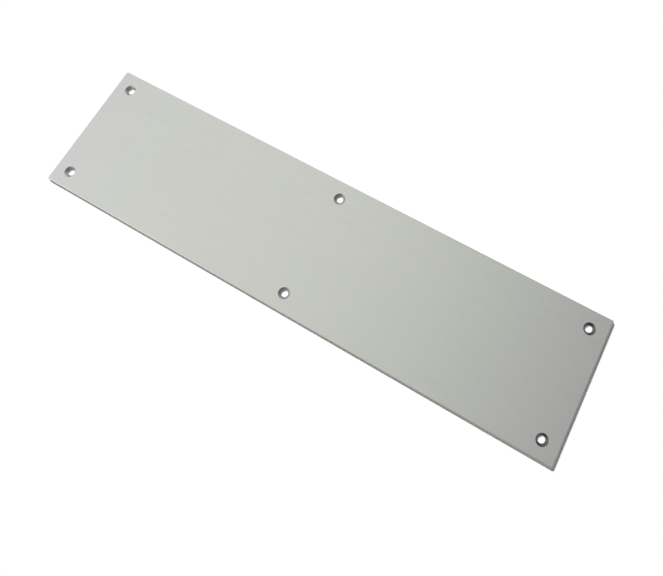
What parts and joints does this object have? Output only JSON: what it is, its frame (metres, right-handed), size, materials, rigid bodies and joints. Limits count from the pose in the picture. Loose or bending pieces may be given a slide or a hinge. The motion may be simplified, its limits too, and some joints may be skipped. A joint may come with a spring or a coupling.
{
  "type": "door finger plate",
  "caption": "Flat rectangular door finger plate in satin anodised aluminium, with countersunk screw holes near its corners and at mid length.",
  "frame": {"origin": "centre of the back face, the face that lies against the door", "axes": "+X along the plate's length, +Y across its width, +Z out of the front face, away from the door"},
  "size_m": [0.3, 0.075, 0.0015],
  "materials": {
    "satin_aluminium": "satin anodised"
  },
  "bodies": {
    "root": {"finger_plate": "satin_aluminium"}
  },
  "joints": []
}
